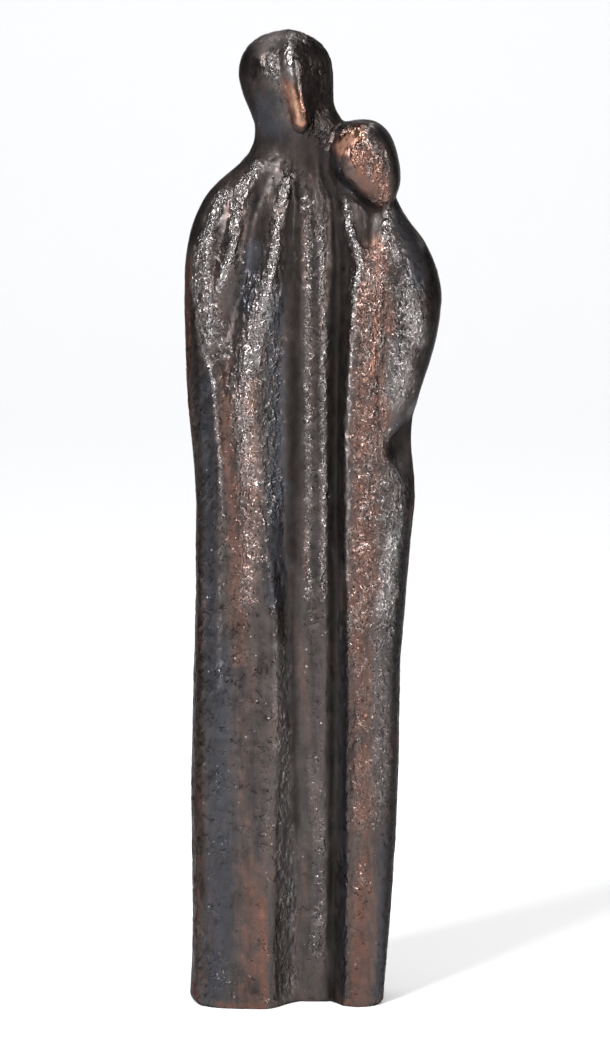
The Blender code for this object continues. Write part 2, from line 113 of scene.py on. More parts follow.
# What the modeller raised or cut with a tool: a stroke's strength is its rise in millimetres.
MODELLED = stroke_table(
    ("nose_ridge", ((0.2, 197.6), (0.6, 192.8), (1.1, 190.8), (1.7, 187.6), (2.3, 184),
     (2.7, 181.2)), 2.9, 0.75),
    ("nose_side", ((-2, 188), (-1.2, 185.6), (-0.2, 182)), 1.6, -0.2),
    ("brow_hollow", ((-4.4, 188), (-4.2, 183.6)), 2.6, -0.25),
    ("right_temple", ((5.3, 194), (6.3, 188), (5.9, 182)), 2.6, -0.3),
    ("small_face_ridge", ((14.6, 180), (15.7, 176.8), (17.1, 174.4), (17.7, 172.4)), 1.9, 0.5),
    ("strand_outer", STRAND_OUTER, 1.5, 0.3),
    ("strand_side", STRAND_SIDE, 1.2, 0.2),
    ("strand_middle", STRAND_MIDDLE, 1.5, 0.32),
    ("strand_inner", STRAND_INNER, 1.3, 0.36),
    ("neck_left", NECK_LEFT, 1.1, 0.38),
    ("neck_right", NECK_RIGHT, 1.2, 0.3),
    ("mantle_border", MANTLE_BORDER, 0.9, 0.26),
    ("mantle_border_low", ((11.6, 88.5), (11.8, 63.9), (11.6, 37)), 0.9, 0.16),
    ("front_border", FRONT_BORDER, 0.9, 0.22),
    ("arm_rim", (*ARM_RIM, (20.1, 117.9)), 1.2, 0.4),
    ("upper_crease", ((15.5, 112.2), (18.5, 112.4)), 0.55, -0.3),
    ("lower_crease", ((15.1, 110.3), (17.7, 110.5)), 0.5, -0.22),
    ("border_knob", ((11.2, 117.9), (11.8, 116.6)), 1, 0.35),
    ("border_knob_low", ((11.2, 115.4), (11.8, 114.2)), 0.9, 0.3),
)

# Deep valleys that the wax ran into and filled softly.
MELTED = stroke_table(
    ("mantle_gap", ((9.2, 164.5), (9.8, 139.3), (9.8, 92.6)), 2.8, 0.75),
    ("mantle_gap_low", ((9.2, 92.6), (8.6, 43.2), (8.8, 5.9)), 2, 0.5),
    ("front_gap", ((0.9, 161.5), (0.9, 92.6)), 2.2, 0.5),
    ("outer_hollow", ((-12.9, 166.8), (-13.8, 163.1), (-14.6, 158.7)), 1.5, 0.6),
    ("chest_arch", ((-5.6, 174), (-3.2, 175.2), (-0.8, 174.4)), 2, 0.5),
)

# Where hands and cloths have rubbed the patina down to the red metal.
RUBBED = stroke_table(
    ("mantle_top", ((17.5, 156.3), (18.3, 151.5), (17.5, 146.2)), 3.4, 0.62),
    ("mantle_front", ((17.1, 147.4), (16.3, 137.3), (15.9, 129.2), (15.5, 119.1), (15.5, 110.9), (15.1, 98.7),
     (14.4, 84.4)), 4.2, 0.54),
    ("mantle_low", ((14.2, 84.4), (14.2, 63.9), (14.6, 47.4), (14.9, 30.8), (14.6, 14.2),
     (14.6, 0.4)), 2.9, 0.56),
    ("mantle_core", ((15.5, 155.1), (15.1, 145.4), (15.3, 137.3), (14.9, 125.2), (14.4, 115), (14.2, 100.8),
     (14.2, 80.3), (14.2, 59.8), (14.6, 43.2), (14.4, 22.5), (14.2, 10)), 1.7, 0.56),
    ("mantle_streak", ((17.3, 141.8), (17.1, 136.3), (16.7, 130.8)), 0.7, 0.95),
    ("tall_side", ((-12.7, 125.2), (-12.3, 117), (-11.7, 108.9), (-11.3, 100.8), (-11.1, 92.6), (-10.7, 84.4),
     (-10.5, 72.1)), 2.2, 0.52),
    ("tall_front", ((-8.5, 129.2), (-8.9, 121.1), (-8.3, 113), (-8.1, 100.8), (-8.5, 84.4)), 3.2, 0.46),
    ("tall_foot", ((-8.9, 30.8), (-8.3, 18.4), (-8.1, 0.4)), 3.4, 0.42),
    ("tall_foot_edge", ((-5.6, 22.5), (-5.4, 12.1), (-5.4, 0.4)), 1.2, 0.72),
    ("foot_edge", ((-15, 0.9), (-5.6, 0.4)), 0.9, 0.7),
    ("foot_edge_right", ((10.2, 0.9), (18.3, 1.1)), 0.8, 0.5),
    ("small_brow", ((10.2, 176), (11.8, 177.4), (13.8, 178.8)), 2.3, 1.2),
    ("small_brow_low", ((11.6, 175), (13.8, 175.8)), 1.5, 0.6),
    ("small_front", ((11.6, 172), (13.6, 169.4), (15.9, 166.8)), 2, 0.42),
    ("small_cheek", ((15.5, 175.6), (17.1, 172.4), (18.3, 169.2), (19.1, 166)), 2.4, 0.74),
    ("small_chin", ((15.5, 168.4), (18.3, 164.9)), 1.8, 0.62),
    ("tall_nose", ((0, 188.4), (0.9, 185.8), (2.1, 181.2)), 1.9, 1.1),
    ("tall_nose_side", ((-1, 187.6), (0, 185.2)), 1.4, 0.62),
    ("tall_temple", ((-10.1, 194), (-9.5, 196.4)), 1, 0.45),
    ("left_rim", ((-20.7, 153.5), (-20.9, 137.3), (-20.5, 117), (-19.6, 92.6)), 0.9, 0.55),
    ("left_edge", ((-18.4, 96.7), (-18.6, 63.9), (-19, 30.8), (-19.4, 0.9)), 0.8, 0.45),
    ("arm", ((19.9, 147), (20.3, 139.3)), 2, 0.5),
    ("arm_low", ((19.5, 125.2), (19.1, 120.3)), 1.8, 0.55),
    ("back_tall", ((0.4, 152), (0, 100), (0.4, 16)), 4.2, 0.42, -1),
    ("back_small", ((16.2, 146), (14.4, 100), (13, 22)), 3.2, 0.45, -1),
    ("back_foot", ((-14, 0.4), (14, 0.4)), 1.1, 0.7, -1),
    ("back_crown", ((-3, 196), (1, 192)), 3, 0.4, -1),
    ("back_shoulder", ((-15, 160), (-12.6, 140)), 3, 0.35, -1),
    ("tall_side_top", ((-13.4, 132.1), (-12.9, 124.4)), 1.7, 0.34),
    ("tall_low", ((-9.3, 63.9), (-8.9, 39.1)), 2.6, 0.28),
    ("small_middle", ((12.6, 175.6), (14.2, 173), (15.5, 170)), 2.4, 0.72),
    ("foot_corner", ((-20.2, 3.8), (-19, 1.3)), 0.8, 0.7),
    ("tall_nose_halo", ((-1, 189.2), (0.2, 186.2), (1.7, 181.6)), 2.9, 0.4),
)

# Where the patina stayed blue-black and smooth: partly real slate patina and partly a painted cool sheen
# on the planes turned to the left and on the arm's rim.
SLATE_AND_SHEEN = stroke_table(
    ("left_flank", ((-17.2, 129.2), (-16.8, 115), (-16.6, 100.8), (-16.2, 84.4), (-15.6, 72.1)), 1.7, 0.9),
    ("left_flank_low", ((-15, 74.1), (-14.4, 55.6), (-14.2, 37), (-14.6, 18.4), (-15.4, 1.7)), 3.1, 0.9),
    ("strand_hollow", ((-7.3, 155.5), (-7.9, 149.4), (-8.9, 144.2)), 2.2, 0.85),
    ("between_hollow", ((-2.6, 147), (-3, 137.3), (-2.8, 125.2), (-2.6, 115), (-2.6, 100.8),
     (-2.8, 84.4)), 2.5, 0.9),
    ("between_low", ((-1.4, 84.4), (-1.2, 59.8), (-0.8, 30.8), (-0.6, 1.7)), 2.2, 0.1),
    ("tall_cheek", ((-5.6, 184.8), (-4.4, 181.2), (-2.8, 178.8)), 3, 1),
    ("small_jaw", ((8.4, 174.2), (9.6, 171.2), (12, 168.2), (14.2, 166.2)), 1.2, 0.9),
    ("beside_mantle", ((11, 76.2), (11, 57.7), (10.8, 37), (10.8, 18.4), (10.6, 1.7)), 1.1, 0.6),
    ("shoulder", ((23.2, 161.1), (25, 155.5), (26.4, 148.6)), 2.6, 0.8),
    ("arm_rim", ARM_RIM, 1.1, 0.9),
    ("hip", ((22.8, 100.8), (22, 84.4), (21.1, 63.9)), 1.6, 0.6),
    ("right_flank", ((19.9, 37), (19.1, 16.3), (18.5, 1.7)), 1.3, 0.8),
    ("back_hollow", ((-7.2, 156), (-7.4, 90), (-7.6, 8)), 2.8, 0.85, -1),
    ("back_hip", ((19.6, 120), (17.6, 60), (16.4, 12)), 2.2, 0.7, -1),
    ("back_head", ((-5, 190), (-2, 180)), 3.4, 0.7, -1),
)

# Painted shade, with some real near-black patina: the valleys, recesses and the hollow under the arm, the
# shadow under the chins, and the facets and rims turned away from the light are painted nearly black.
BLACK_AND_SHADE = stroke_table(
    ("right_plane", ((4.5, 196.8), (5.7, 189.6), (5.3, 181.6)), 3.4, 0.95),
    ("left_temple", LEFT_TEMPLE, 2.6, 0.95),
    ("left_dark", ((-6.9, 192.8), (-6.9, 187.6)), 2, 0.85),
    ("small_cap", SMALL_CAP, 1.7, 0.95),
    ("small_top", ((10.6, 181.4), (15.9, 181.8), (19.1, 181)), 0.9, 0.8),
    ("saddle", ((9, 182), (7.5, 178.8), (8.2, 174), (9, 168.8)), 1.9, 0.85),
    ("collar", ((-6.5, 176.4), (-1, 176.4), (3.7, 175.6), (7.3, 172.4)), 3.2, 0.8),
    ("throat", ((4.5, 173.6), (7.3, 169.6), (9.4, 164.5)), 3.2, 0.9),
    ("chest_top", ((-3.2, 177.6), (-3.6, 173.6), (-4.4, 167.6)), 2.2, 0.8),
    ("between_strands", ((-3.4, 175.6), (-4, 169.6), (-5.2, 164.3), (-6.9, 158.3)), 2, 0.85),
    ("bosom", ((15.1, 165.6), (16.1, 162.3), (16.7, 158.7)), 2.4, 0.7),
    ("under_jaw", UNDER_JAW, 1.3, 0.85),
    ("left_shoulder", ((-8.1, 180), (-12.5, 174), (-17.4, 166.4), (-20.2, 157.5)), 1.6, 0.8),
    ("right_shoulder", ((22.8, 164.9), (26.2, 159.7), (29.1, 153.1), (29.7, 145.4), (29.1, 137.3),
     (27.2, 130.8)), 2.2, 0.95),
    ("arm_hollow", ARM_HOLLOW, 2.3, 1),
    ("mantle_gap", MANTLE_GAP, 2.2, 0.9),
    ("mantle_gap_low", ((9, 92.6), (8.6, 76.2), (8.6, 39.1), (9, 0)), 1.4, 0.6),
    ("front_gap", ((0.6, 160.7), (0.9, 125.2), (0.9, 92.6)), 1.9, 0.95),
    ("front_gap_low", ((1.1, 92.6), (1.3, 63.9), (1.1, 37)), 0.9, 0.45),
    ("left_border", ((-19.8, 145.4), (-19, 129.2), (-18.2, 108.9), (-18.6, 76.2), (-18.2, 22.5)), 0.9, 0.8),
    ("right_border", ((24.2, 110.9), (23.2, 92.6), (21.8, 76.2), (21.3, 55.6), (20.9, 37), (20.1, 18.4),
     (19.5, 3.8)), 1.1, 0.9),
    ("back_seam", BACK_SEAM, 2.4, 0.9, -1),
    ("back_neck", BACK_NECK, 2.6, 0.8, -1),
    ("back_left", ((-17.6, 154), (-16.6, 90), (-17.4, 6)), 1.6, 0.7, -1),
    ("strand_side", ((1.3, 168.4), (1.3, 160.7)), 1.7, 0.8),
    ("neck_wrinkles", ((2.9, 182), (4.7, 179), (6.5, 176.2)), 2.2, 0.85),
    ("ridge_side", ((2.1, 193.6), (2.7, 188), (3.7, 183.2)), 0.8, 0.85),
    ("chest_left", ((-3.4, 176), (-4, 172.4), (-5.6, 167.6), (-6.5, 164.3)), 2.6, 1),
    ("cheek", ((-5.6, 186), (-4.4, 182)), 2.6, 0.6),
    ("chest_right", ((-1.4, 175.2), (-2, 171.2), (-2.8, 167.2)), 2, 0.9),
    ("outer_hollow", ((-13.1, 167.2), (-14, 163.1), (-15, 158.7)), 1.1, 0.85),
    ("chest_high", ((-5.6, 176.4), (-3.2, 175.6), (-1.2, 175.2)), 1.6, 0.8),
    ("left_foot", ((-19.4, 63.9), (-19.6, 32.9), (-19.8, 3.8)), 0.9, 0.6),
    ("chest_arch", ((-6.9, 173), (-4.8, 175.2), (-2, 175.6), (0.2, 173.6)), 1.3, 0.9),
    ("left_face", ((-8.7, 191.6), (-8.1, 187.2), (-6.9, 184.4)), 2.6, 0.7),
    ("mantle_top", ((15.5, 157.5), (15.9, 147.4), (15.5, 137.3)), 2.2, 0.16),
)

# Where the skin kept its tool marks and its wrinkled cast grain.
WORKED = stroke_table(
    ("tall_crest", ((-5.6, 147.4), (-6, 141.4), (-7.7, 135.3), (-8.7, 129.2), (-9.5, 123.5),
     (-9.1, 117)), 3.2, 1),
    ("left_plane", ((-15.8, 145.4), (-15, 139.3), (-13.8, 134.9)), 2.6, 0.5),
    ("hollow_edge", ((-3.6, 137.3), (-4, 121.1), (-4, 100.8)), 1.6, 0.55),
    ("mantle", ((17.9, 155.5), (17.1, 145.4), (16.5, 135.3), (16.3, 121.1), (15.9, 108.9), (15.5, 92.6),
     (15.1, 80.3)), 4, 0.68),
    ("mantle_low", ((14.4, 76.2), (14.6, 51.5), (14.6, 26.7)), 2.2, 0.3),
    ("arm", ((23.2, 144.6), (24.6, 140.6), (24.4, 135.3), (22.4, 128.8)), 3.8, 1),
    ("hip", ((22, 110.9), (21.3, 100.8), (20.3, 92.6), (19.5, 84.4), (19.1, 76.2)), 2.6, 1),
    ("hip_low", ((18.7, 76.2), (18.3, 55.6), (17.9, 39.1)), 2.6, 0.42),
    ("strand_outer", STRAND_OUTER, 1.2, 0.9),
    ("strand_side", STRAND_SIDE, 0.95, 0.8),
    ("strand_middle", STRAND_MIDDLE, 1.2, 0.95),
    ("strand_inner", STRAND_INNER, 1.1, 1),
    ("neck_left", NECK_LEFT, 1.3, 1),
    ("neck_right", NECK_RIGHT, 1.2, 1),
    ("band_left", ((3.3, 165.6), (3.5, 157.5), (3.7, 145.4), (3.7, 84.4)), 0.9, 0.7),
    ("band_right", ((6.5, 159.5), (6.7, 145.4), (6.9, 84.4)), 0.8, 0.65),
    ("band_low", ((4.7, 50.5), (5.7, 37), (6.5, 22.5), (5.7, 10)), 1.8, 0.4),
    ("gap_side", ((-1.4, 80.3), (-1.2, 59.8), (-1.2, 39.1)), 1.4, 0.12),
    ("hollow_low", ((-0.8, 37), (-0.4, 22.5), (0, 5.9)), 2.6, 0.15),
    ("tall_crown", TALL_CROWN, 1.6, 1),
    ("tall_temple", ((-4, 192.4), (-2.8, 190), (-1.8, 187.6)), 1.7, 0.5),
    ("tall_right", ((3.3, 193.2), (6.1, 189.6), (4.5, 183.2)), 2.2, 0.12),
    ("small_cheek", ((15.1, 175.2), (17.1, 172), (18.7, 168.4), (19.1, 165.1)), 2.7, 0.85),
    ("neck_wrinkles", ((2.5, 184), (4.5, 181.2), (6.5, 178.4), (5.7, 175.2)), 2.2, 0.45),
    ("back_tall", ((0.4, 158), (0, 100), (0.4, 10)), 5, 0.6, -1),
    ("back_small", ((16.2, 150), (14.4, 100), (13.4, 14)), 3.8, 0.65, -1),
    ("back_left", ((-13, 160), (-13.4, 100), (-13.2, 14)), 3, 0.5, -1),
    ("tall_crest_mid", ((-8.9, 115.8), (-8.5, 100.8), (-8.5, 84.4)), 2.6, 0.6),
)

# Smooth places, where the skin was dressed after casting.
DRESSED = stroke_table(
    ("tall_cheek", ((-5.6, 185.6), (-4.4, 181.2), (-2.8, 178.4)), 3.8, 1),
    ("tall_brow", ((-6.5, 195.2), (-4.4, 197.2), (-2, 198.2)), 2, 1),
    ("left_temple", LEFT_TEMPLE, 2.6, 1),
    ("nose", ((-0.2, 190.8), (1.1, 185.6), (2.3, 180.8)), 2.2, 0.95),
    ("small_brow", ((10.2, 176.2), (12.2, 177.6)), 1.8, 0.8),
    ("small_front", ((10.6, 173.2), (12.6, 170.4), (15.1, 167.6)), 2.2, 1),
    ("small_cap", SMALL_CAP, 1.9, 0.95),
    ("chest", ((15.5, 163.1), (16.1, 158.3)), 2.6, 1),
    ("collar", ((-6.5, 176.4), (-1, 176.4), (3.7, 175.2), (6.5, 169.6)), 3, 0.85),
    ("chest_top", ((-5.2, 173.6), (-4.4, 169.2)), 1.4, 0.7),
    ("right_shoulder", ((22.4, 164.7), (26, 159.1), (28.9, 153.1), (29.9, 145.4), (29.3, 137.3),
     (27.2, 130.4)), 2.4, 0.95),
    ("shoulder", ((23.6, 160.3), (25.2, 155.5), (26.4, 150.3)), 2.4, 0.6),
    ("arm_rim", ARM_RIM, 1.2, 1),
    ("left_shoulder", ((-8.1, 180), (-12.5, 174), (-17.4, 166.4), (-20.7, 157.5), (-21.3, 141.4)), 1.4, 0.85),
    ("between_strands", ((-5.4, 168.4), (-6.5, 160.7), (-7.7, 153.1)), 1.9, 0.9),
    ("outer_hollow", ((-12.5, 164.3), (-13.8, 157.5)), 1, 0.6),
    ("front_gap", ((0.9, 162.7), (0.9, 80.3)), 2, 0.95),
    ("mantle_gap", ((9.8, 164.5), (10, 84.4)), 2.1, 1),
    ("mantle_gap_low", ((8.6, 84.4), (8.8, 1.7)), 1.3, 0.8),
    ("arm_hollow", ((24.6, 118.3), (22.6, 115.8), (23.2, 110.9)), 2, 1),
    ("back_heads", ((-3, 194), (0, 184)), 6, 0.8, -1),
    ("back_small_head", ((17.6, 176), (17.4, 170)), 4, 0.7, -1),
)

# Where the raised skin was burnished to a pale grey shine: partly real wear and partly painted highlights
# and reflections, as on the arm, the brow and along the right shoulder's edge.
BURNISHED_AND_HIGHLIGHT = stroke_table(
    ("strand_outer", STRAND_OUTER, 1.1, 0.66),
    ("strand_side", STRAND_SIDE, 0.8, 0.55),
    ("strand_edge", ((-19.2, 147.4), (-18.6, 143.4), (-18.4, 139.3), (-17.6, 134.9),
     (-16.2, 131.7)), 0.6, 0.7),
    ("strand_middle", STRAND_MIDDLE, 0.95, 0.7),
    ("strand_inner", STRAND_INNER, 0.9, 0.85),
    ("tall_crest", ((-4, 147.4), (-5.6, 142.2), (-7.5, 136.3), (-8.7, 130), (-9.7, 125.6), (-9.1, 120.5),
     (-8.5, 115.4), (-8.1, 108.9)), 2.1, 0.8),
    ("tall_crest_low", ((-8.1, 108.9), (-7.7, 100.8), (-7.9, 92.6), (-8.5, 84.4)), 1.9, 0.3),
    ("front_border", FRONT_BORDER, 0.45, 0.5),
    ("front_border_low", ((-14, 104.8), (-14.4, 96.7), (-14.4, 84.4), (-14.4, 65.9)), 0.5, 0.25),
    ("neck_left", NECK_LEFT, 0.8, 0.8),
    ("neck_right", NECK_RIGHT, 1.3, 0.55),
    ("mantle_border", MANTLE_BORDER, 0.42, 0.68),
    ("mantle_top", ((15.5, 153.1), (16.7, 147.4)), 1.6, 0.4),
    ("mantle_front", ((16.7, 137.3), (16.7, 121.1), (15.9, 110.9)), 2.4, 0.1),
    ("arm", ((23.6, 145.4), (25.2, 142.2), (25.8, 137.3)), 1.9, 1),
    ("arm_low", ((22.4, 135.3), (22.8, 130), (21.1, 125.2)), 2.8, 0.6),
    ("arm_rim", ((27.2, 126.4), (25.6, 123.8), (24.4, 121.9)), 0.5, 0.5),
    ("shoulder_light", ((22.6, 163.7), (25.8, 158.9), (27.2, 155.1)), 0.6, 0.42),
    ("hip", ((21.1, 97.1), (20.1, 90.5), (19.1, 81.9)), 1.7, 0.85),
    ("hip_low", ((19.1, 82.4), (18.7, 63.9), (18.3, 45.3)), 2.2, 0.18),
    ("band_left", ((3.3, 159.5), (3.7, 145.4), (3.7, 92.6)), 0.5, 0.35),
    ("band_right", ((6.5, 157.5), (6.7, 145.4), (6.9, 92.6)), 0.5, 0.6),
    ("band_low", ((4.7, 50.5), (5.7, 37), (6.5, 22.5), (6.1, 13.2)), 1.4, 0.15),
    ("tall_crown", TALL_CROWN, 0.9, 0.7),
    ("tall_ridge", ((0.2, 196.8), (0, 193.2), (0.4, 189.6)), 0.9, 0.55),
    ("tall_brow", ((-5.6, 196.8), (-4, 197.8), (-2.6, 198.2)), 1.8, 0.5),
    ("tall_temple", ((-4, 192.2), (-2.8, 190), (-2, 188)), 1.3, 0.3),
    ("small_ridge", ((15.1, 179.4), (15.9, 176.4), (17.1, 174.6)), 0.5, 0.8),
    ("small_crown", ((15.5, 179.6), (16.5, 180.4)), 0.7, 0.6),
    ("small_rim", ((11, 179), (13.6, 180)), 0.5, 0.7),
    ("back_tall", ((1, 150), (0.4, 96)), 1.8, 0.55, -1),
    ("back_small", ((16.6, 146), (14.8, 104)), 1.5, 0.55, -1),
    ("back_left", ((-14.4, 152), (-13.6, 110)), 1.4, 0.5, -1),
    ("back_crown", ((-1, 196.6), (1.4, 190)), 1.6, 0.4, -1),
    ("hip_high", ((22.2, 110.9), (21.5, 98.7)), 2, 0.32),
    ("between_low", ((-2, 74.1), (-1.4, 51.5), (-0.8, 26.7), (-0.2, 2.7)), 1.7, 0.3),
)

# Where dirt and wax keep the patina dull; in their hollows the material also paints shade.
MATTE = stroke_table(
    ("mantle_gap", (*MANTLE_GAP, (9, 76.2), (8.8, 0)), 2.4, 1),
    ("front_gap", ((0.6, 162.7), (0.9, 92.6), (1.1, 37)), 2.2, 1),
    ("collar", ((-6.5, 177.6), (-1, 176.4), (3.7, 175.6), (7.3, 172.4)), 4, 0.9),
    ("throat", ((4.5, 173.6), (6.5, 168.8), (8.2, 162.7)), 3.4, 0.9),
    ("chest_top", ((-5.6, 175.6), (-4.4, 171.6), (-4.4, 165.6)), 2.6, 0.9),
    ("between_strands", ((-5.4, 167.6), (-6.5, 160.7), (-8.1, 151.5)), 2, 0.6),
    ("bosom", ((15.5, 162.7), (16.1, 157.9)), 2.8, 0.8),
    ("under_jaw", UNDER_JAW, 1.4, 0.9),
    ("arm_hollow", ARM_HOLLOW, 2.4, 1),
    ("back_seam", BACK_SEAM, 2.6, 1, -1),
    ("back_neck", BACK_NECK, 3, 0.9, -1),
    ("chest_wide", ((-2.8, 175.6), (-3.6, 171.2), (-4.8, 166.4)), 2.8, 0.5),
    ("between_low", ((-2, 76.2), (-1.4, 51.5), (-0.8, 26.7), (-0.2, 1.7)), 2, 0.7),
)


class CastingSettings(bpy.types.PropertyGroup):
    """Sizes of the cast skin."""

    voxel: bpy.props.FloatProperty(
        name="Voxel", description="Grid size of the recast mesh", default=0.00032, min=0.0002, unit="LENGTH",
        precision=5,
    )
    faces: bpy.props.IntProperty(
        name="Faces", description="Most triangles that the casting keeps", default=195000, min=10000,
    )
    softening: bpy.props.IntProperty(
        name="Softening", description="Rounds that melt the solid's flat faces", default=22, min=0,
    )
    lump_size: bpy.props.FloatProperty(
        name="Lump size", description="Distance between the modelled swellings", default=0.0075,
        unit="LENGTH",
    )
    lump_depth: bpy.props.FloatProperty(
        name="Lump depth", description="Height of the modelled swellings", default=0.00016, unit="LENGTH",
        precision=5,
    )
    mark_size: bpy.props.FloatProperty(
        name="Tool mark size", description="Distance between the tool marks", default=0.00125, unit="LENGTH",
        precision=5,
    )
    mark_depth: bpy.props.FloatProperty(
        name="Tool mark depth", description="Height of the tool marks", default=0.00028, unit="LENGTH",
        precision=5,
    )
    pit_size: bpy.props.FloatProperty(
        name="Pit spacing", description="Distance between the gas pits", default=0.0023, unit="LENGTH",
        precision=5,
    )
    pit_depth: bpy.props.FloatProperty(
        name="Pit depth", description="Depth of the gas pits", default=0.00025, unit="LENGTH", precision=5,
    )
    chip_depth: bpy.props.FloatProperty(
        name="Chip depth", description="How far the foot's chips cut in", default=0.0007, unit="LENGTH",
        precision=5,
    )


class PatinaSettings(bpy.types.PropertyGroup):
    """Colours of the patina and the metal under it, and of the painted shade, sheen and glints."""

    brown: bpy.props.FloatVectorProperty(
        name="Brown patina", description="The main patina", subtype="COLOR", min=0, max=1,
        default=(0.070, 0.060, 0.057),
    )
    # Also the colour of the painted shade in valleys and recesses and on facets turned from the light.
    dark_patina_and_shade: bpy.props.FloatVectorProperty(
        name="Black patina", description="The patina in the pits and on the borders", subtype="COLOR",
        min=0, max=1, default=(0.014, 0.011, 0.010),
    )
    # Painted shade: the colour that darkens the deepest hollows.
    hollow_shade_colour: bpy.props.FloatVectorProperty(
        name="Soot", description="Dirt in the deepest hollows", subtype="COLOR", min=0, max=1,
        default=(0.004, 0.0033, 0.003),
    )
    # Also the colour of a painted cool sheen on planes turned to the left.
    slate_and_sheen: bpy.props.FloatVectorProperty(
        name="Slate patina", description="The patina of the smooth hollows", subtype="COLOR",
        min=0, max=1, default=(0.040, 0.043, 0.052),
    )
    red: bpy.props.FloatVectorProperty(
        name="Red metal", description="The metal where the patina is rubbed thin", subtype="COLOR",
        min=0, max=1, default=(0.150, 0.072, 0.052),
    )
    copper: bpy.props.FloatVectorProperty(
        name="Bright metal", description="The metal where it is rubbed bare", subtype="COLOR",
        min=0, max=1, default=(0.66, 0.37, 0.25),
    )
    # The colour of the painted glints on the tips of red metal.
    rosy_glint: bpy.props.FloatVectorProperty(
        name="Rosy tips", description="The shine of the tips on red metal", subtype="COLOR",
        min=0, max=1, default=(0.62, 0.45, 0.40),
    )
    # Pale burnished wear, and the colour of the painted glints and highlights.
    pale_wear_and_glint: bpy.props.FloatVectorProperty(
        name="Burnished tips", description="The grey shine of the burnished tips", subtype="COLOR",
        min=0, max=1, default=(0.62, 0.58, 0.57),
    )


class StudioSettings(bpy.types.PropertyGroup):
    """The camera, the floor and the lights."""

    camera_distance: bpy.props.FloatProperty(
        name="Camera distance", description="From the camera to the middle of the couple", default=0.8955,
        unit="LENGTH",
    )
    camera_tilt: bpy.props.FloatProperty(
        name="Camera angle", description="How far the camera looks down", default=math.radians(6),
        subtype="ANGLE",
    )
    aim_right: bpy.props.FloatProperty(
        name="Aim, right", description="Where the camera looks, right of the origin", default=0.003085,
        unit="LENGTH", precision=5,
    )
    aim_up: bpy.props.FloatProperty(
        name="Aim, up", description="Where the camera looks, above the floor", default=0.0998,
        unit="LENGTH", precision=5,
    )
    focal_pixels: bpy.props.FloatProperty(
        name="Focal length", description="In pixels of the photograph", default=4360.0,
    )
    floor_size: bpy.props.FloatProperty(
        name="Floor", description="Side of the floor", default=8.0, unit="LENGTH",
    )
    sweep_back: bpy.props.FloatProperty(
        name="Sweep", description="From the couple to the backdrop", default=2.4, unit="LENGTH",
    )
    sweep_bend: bpy.props.FloatProperty(
        name="Sweep bend", description="Radius of the bend into the backdrop", default=0.9, unit="LENGTH",
    )
    sweep_height: bpy.props.FloatProperty(
        name="Sweep height", description="Height of the backdrop", default=2.6, unit="LENGTH",
    )
    floor_colour: bpy.props.FloatVectorProperty(
        name="Floor colour", description="Pale and plain", subtype="COLOR", min=0, max=1,
        default=(0.86, 0.86, 0.865),
    )
    surround: bpy.props.FloatProperty(
        name="Surround", description="Brightness of the studio's walls", default=0.30,
    )


# The noise repeats after so many cells, on a grid turned so that its planes don't line up with the folds.
NOISE_PERIOD = 32
NOISE_GAIN = 1.7
NOISE_TURN = np.array([[0.36, 0.48, -0.80], [-0.80, 0.60, 0.0], [0.48, 0.64, 0.60]])
SPOT_PERIOD = 24

# Rounds of softening: to join what is melted, and to find the form and the small crests that stand out.
JOINING_ROUNDS = 120
FORM_ROUNDS = 60
CREST_ROUNDS = 8

# Where the solid's facets are melted most: the saddle between the heads, and the hollow of the elbow.
SADDLE, SADDLE_REACH = (9.0, -1.5, 172.0), (4.0, 9.0, 9.0)
ELBOW, ELBOW_REACH = (22.5, -6.0, 112.5), (6.0, 10.0, 11.0)

# Up to this height, in millimetres, the foot's points stay on the floor, and between these two it turns soft.
FOOT_SKIN = 0.15
FOOT_CRISP = (0.8, 3.5)

# The shares of its half width where a painted stroke starts to fade and ends, and where a modelled one ends.
PAINT_CORE, PAINT_EDGE, MODELLED_EDGE = 0.15, 1.45, 1.1

# How far the edges of what is painted wander, in millimetres.
FRAY = 0.45

# Points squeezed along z draw the noise out upward, the way tool marks, chips and streaks run.
MARK_SQUEEZE = (1, 1, 0.5)
CHIP_SQUEEZE = (1, 1, 0.2)
PAINT_SQUEEZE = (1, 1, 0.62)
STREAK_SQUEEZE = (1, 1, 0.10)

# How far apart the material's features lie, in millimetres, and how wide its curled lines are drawn.
STREAK_SIZE, BLOTCH_SIZE, MOTTLE_SIZE = 1.7, 9, 2.2
MARK_SIZE, GRAIN_SIZE, PIT_SIZE, SPECK_SIZE = 0.90, 0.34, 0.85, 1.9
CURL_SIZE, CURL_BREAK, FINE_CURL_SIZE, FINE_CURL_BREAK = 2.0, 1.9, 1.15, 1.2
CURL_WIDTH = 0.085

# How far the specks' places are pushed, by noise of this size, and the height of the bump, in millimetres.
PUSH_SIZE, PUSH = 0.5, 0.7
BUMP_HEIGHT = 0.52


def follow_path(points, path):
    """The distance from each point to a path of straight stretches, in the plane of both."""
    nearest = np.full(len(points), np.inf)
    for start, end in zip(path, path[1:]):
        start, end = np.array(start), np.array(end)
        run = end - start
        share = np.clip((points - start) @ run / (run @ run), 0, 1)
        nearest = np.minimum(nearest, np.linalg.norm(points - start - share[:, None] * run, axis=1))
    return nearest


def ease(low, high, values):
    share = np.clip((values - low) / (high - low), 0, 1)
    return share * share * (3 - 2 * share)


